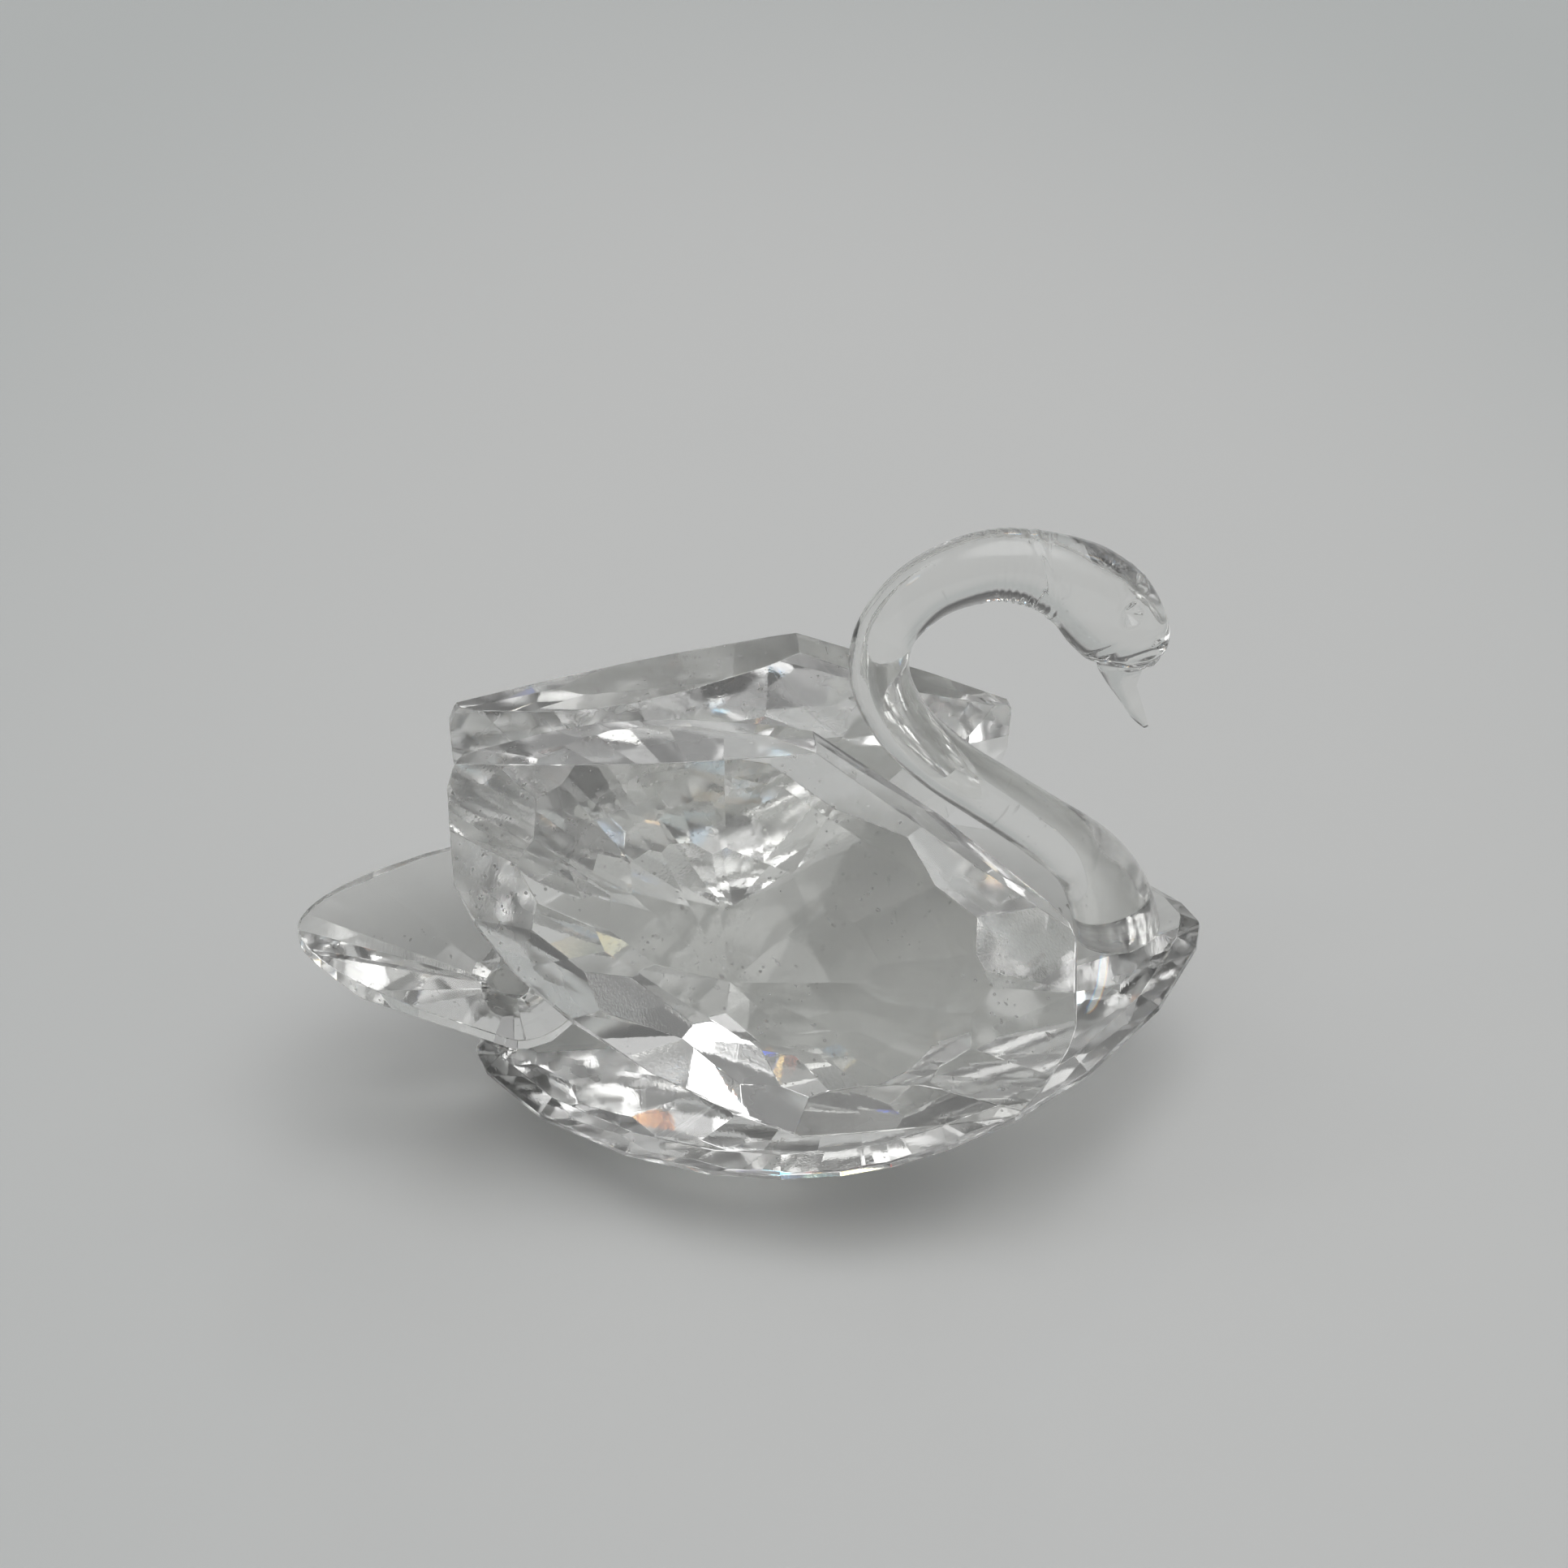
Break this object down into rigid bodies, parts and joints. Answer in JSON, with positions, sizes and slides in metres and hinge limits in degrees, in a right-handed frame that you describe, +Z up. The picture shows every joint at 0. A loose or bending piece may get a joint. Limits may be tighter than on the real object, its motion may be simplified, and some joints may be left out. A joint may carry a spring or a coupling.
{
  "type": "crystal glass figurine",
  "caption": "Clear cut-crystal swan: boat-shaped faceted body, two raised faceted wings, leaf-shaped tail and a smooth curved neck and head, glued together.",
  "frame": {"origin": "middle of the swan's bounding box seen from above, on the surface it stands on", "axes": "+X from tail to breast, +Z up, +Y to the swan's left"},
  "size_m": [0.0762, 0.0444, 0.0541],
  "materials": {
    "cut_crystal": "polished",
    "drawn_crystal": "polished",
    "clear_adhesive": "glossy"
  },
  "bodies": {
    "root": {"body_stone": "cut_crystal", "right_wing": "cut_crystal", "left_wing": "cut_crystal", "tail": "cut_crystal", "neck_and_head": "drawn_crystal", "right_wing_adhesive": "clear_adhesive", "left_wing_adhesive": "clear_adhesive", "tail_adhesive": "clear_adhesive", "neck_adhesive": "clear_adhesive"}
  },
  "joints": []
}
